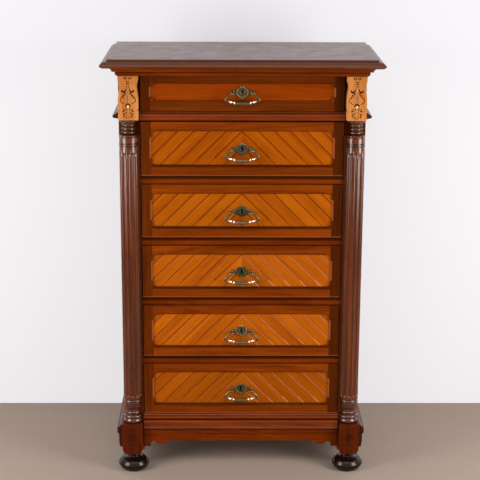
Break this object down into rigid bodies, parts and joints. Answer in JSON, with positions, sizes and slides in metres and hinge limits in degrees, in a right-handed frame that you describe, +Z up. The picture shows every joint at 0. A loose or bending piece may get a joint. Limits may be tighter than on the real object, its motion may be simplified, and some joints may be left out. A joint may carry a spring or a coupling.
{
  "type": "tall chest of drawers",
  "caption": "Tall narrow chest with a shallow frieze drawer over deep panelled drawers, fluted half columns, turned feet and swinging bail handles.",
  "frame": {"origin": "on the floor, under the middle of the top board", "axes": "+Z up, -Y the way the drawers open, +X to the right as the front is seen"},
  "size_m": [0.9, 0.475, 1.42],
  "materials": {
    "mahogany": "polished dark reddish-brown wood, worn at the edges",
    "dark_wood": "turned wood stained almost black",
    "orange_birch": "figured orange birch veneer under shellac",
    "light_birch": "golden birch with dark incised ornament",
    "secondary_wood": "plain unpolished softwood",
    "aged_brass": "cast brass with grey-green tarnish and bright high spots",
    "lock_steel": "plain steel"
  },
  "bodies": {
    "case": {"top_board": "mahogany", "cornice_moulding": "mahogany", "belt_mouldings": "mahogany", "base_mouldings": "mahogany", "front_apron": "mahogany", "left_side_frame": "mahogany", "right_side_frame": "mahogany", "side_panels": "mahogany", "cross_rails": "mahogany", "drawer_runners": "secondary_wood", "drawer_stops": "secondary_wood", "back_boards": "secondary_wood", "bottom_board": "secondary_wood", "left_column": "mahogany", "right_column": "mahogany", "capital_blocks": "light_birch", "foot_blocks": "mahogany", "feet": "dark_wood"},
    "drawer_1": {"drawer_1_frame": "mahogany", "drawer_1_panel": "orange_birch", "drawer_1_box": "secondary_wood", "drawer_1_plate": "aged_brass", "drawer_1_lock": "lock_steel"},
    "drawer_1_handle": {"drawer_1_bail": "aged_brass"},
    "drawer_1_lock_bolt": {"drawer_1_bolt": "lock_steel"},
    "drawer_2": {"drawer_2_frame": "mahogany", "drawer_2_panel": "orange_birch", "drawer_2_box": "secondary_wood", "drawer_2_plate": "aged_brass", "drawer_2_lock": "lock_steel"},
    "drawer_2_handle": {"drawer_2_bail": "aged_brass"},
    "drawer_2_lock_bolt": {"drawer_2_bolt": "lock_steel"},
    "drawer_3": {"drawer_3_frame": "mahogany", "drawer_3_panel": "orange_birch", "drawer_3_box": "secondary_wood", "drawer_3_plate": "aged_brass", "drawer_3_lock": "lock_steel"},
    "drawer_3_handle": {"drawer_3_bail": "aged_brass"},
    "drawer_3_lock_bolt": {"drawer_3_bolt": "lock_steel"},
    "drawer_4": {"drawer_4_frame": "mahogany", "drawer_4_panel": "orange_birch", "drawer_4_box": "secondary_wood", "drawer_4_plate": "aged_brass", "drawer_4_lock": "lock_steel"},
    "drawer_4_handle": {"drawer_4_bail": "aged_brass"},
    "drawer_4_lock_bolt": {"drawer_4_bolt": "lock_steel"},
    "drawer_5": {"drawer_5_frame": "mahogany", "drawer_5_panel": "orange_birch", "drawer_5_box": "secondary_wood", "drawer_5_plate": "aged_brass", "drawer_5_lock": "lock_steel"},
    "drawer_5_handle": {"drawer_5_bail": "aged_brass"},
    "drawer_5_lock_bolt": {"drawer_5_bolt": "lock_steel"},
    "drawer_6": {"drawer_6_frame": "mahogany", "drawer_6_panel": "orange_birch", "drawer_6_box": "secondary_wood", "drawer_6_plate": "aged_brass", "drawer_6_lock": "lock_steel"},
    "drawer_6_handle": {"drawer_6_bail": "aged_brass"},
    "drawer_6_lock_bolt": {"drawer_6_bolt": "lock_steel"}
  },
  "joints": [
    {"name": "drawer_1_slide", "type": "slide", "parent": "case", "child": "drawer_1", "axis": [0, -1, 0], "range_m": [0, 0.3]},
    {"name": "drawer_1_bail_swing", "type": "hinge", "parent": "drawer_1", "child": "drawer_1_handle", "pos_m": [0, -0.168, 1.3045], "axis": [-1, 0, 0], "range_deg": [-18, 100]},
    {"name": "drawer_1_bolt_throw", "type": "slide", "parent": "drawer_1", "child": "drawer_1_lock_bolt", "axis": [0, 0, 1], "range_m": [0, 0.008]},
    {"name": "drawer_2_slide", "type": "slide", "parent": "case", "child": "drawer_2", "axis": [0, -1, 0], "range_m": [0, 0.3]},
    {"name": "drawer_2_bail_swing", "type": "hinge", "parent": "drawer_2", "child": "drawer_2_handle", "pos_m": [0, -0.168, 1.1185], "axis": [-1, 0, 0], "range_deg": [-28, 100]},
    {"name": "drawer_2_bolt_throw", "type": "slide", "parent": "drawer_2", "child": "drawer_2_lock_bolt", "axis": [0, 0, 1], "range_m": [0, 0.008]},
    {"name": "drawer_3_slide", "type": "slide", "parent": "case", "child": "drawer_3", "axis": [0, -1, 0], "range_m": [0, 0.3]},
    {"name": "drawer_3_bail_swing", "type": "hinge", "parent": "drawer_3", "child": "drawer_3_handle", "pos_m": [0, -0.168, 0.9115], "axis": [-1, 0, 0], "range_deg": [-28, 100]},
    {"name": "drawer_3_bolt_throw", "type": "slide", "parent": "drawer_3", "child": "drawer_3_lock_bolt", "axis": [0, 0, 1], "range_m": [0, 0.008]},
    {"name": "drawer_4_slide", "type": "slide", "parent": "case", "child": "drawer_4", "axis": [0, -1, 0], "range_m": [0, 0.3]},
    {"name": "drawer_4_bail_swing", "type": "hinge", "parent": "drawer_4", "child": "drawer_4_handle", "pos_m": [0, -0.168, 0.7045], "axis": [-1, 0, 0], "range_deg": [-28, 100]},
    {"name": "drawer_4_bolt_throw", "type": "slide", "parent": "drawer_4", "child": "drawer_4_lock_bolt", "axis": [0, 0, 1], "range_m": [0, 0.008]},
    {"name": "drawer_5_slide", "type": "slide", "parent": "case", "child": "drawer_5", "axis": [0, -1, 0], "range_m": [0, 0.3]},
    {"name": "drawer_5_bail_swing", "type": "hinge", "parent": "drawer_5", "child": "drawer_5_handle", "pos_m": [0, -0.168, 0.4975], "axis": [-1, 0, 0], "range_deg": [-28, 100]},
    {"name": "drawer_5_bolt_throw", "type": "slide", "parent": "drawer_5", "child": "drawer_5_lock_bolt", "axis": [0, 0, 1], "range_m": [0, 0.008]},
    {"name": "drawer_6_slide", "type": "slide", "parent": "case", "child": "drawer_6", "axis": [0, -1, 0], "range_m": [0, 0.3]},
    {"name": "drawer_6_bail_swing", "type": "hinge", "parent": "drawer_6", "child": "drawer_6_handle", "pos_m": [0, -0.168, 0.2905], "axis": [-1, 0, 0], "range_deg": [-28, 100]},
    {"name": "drawer_6_bolt_throw", "type": "slide", "parent": "drawer_6", "child": "drawer_6_lock_bolt", "axis": [0, 0, 1], "range_m": [0, 0.008]}
  ]
}
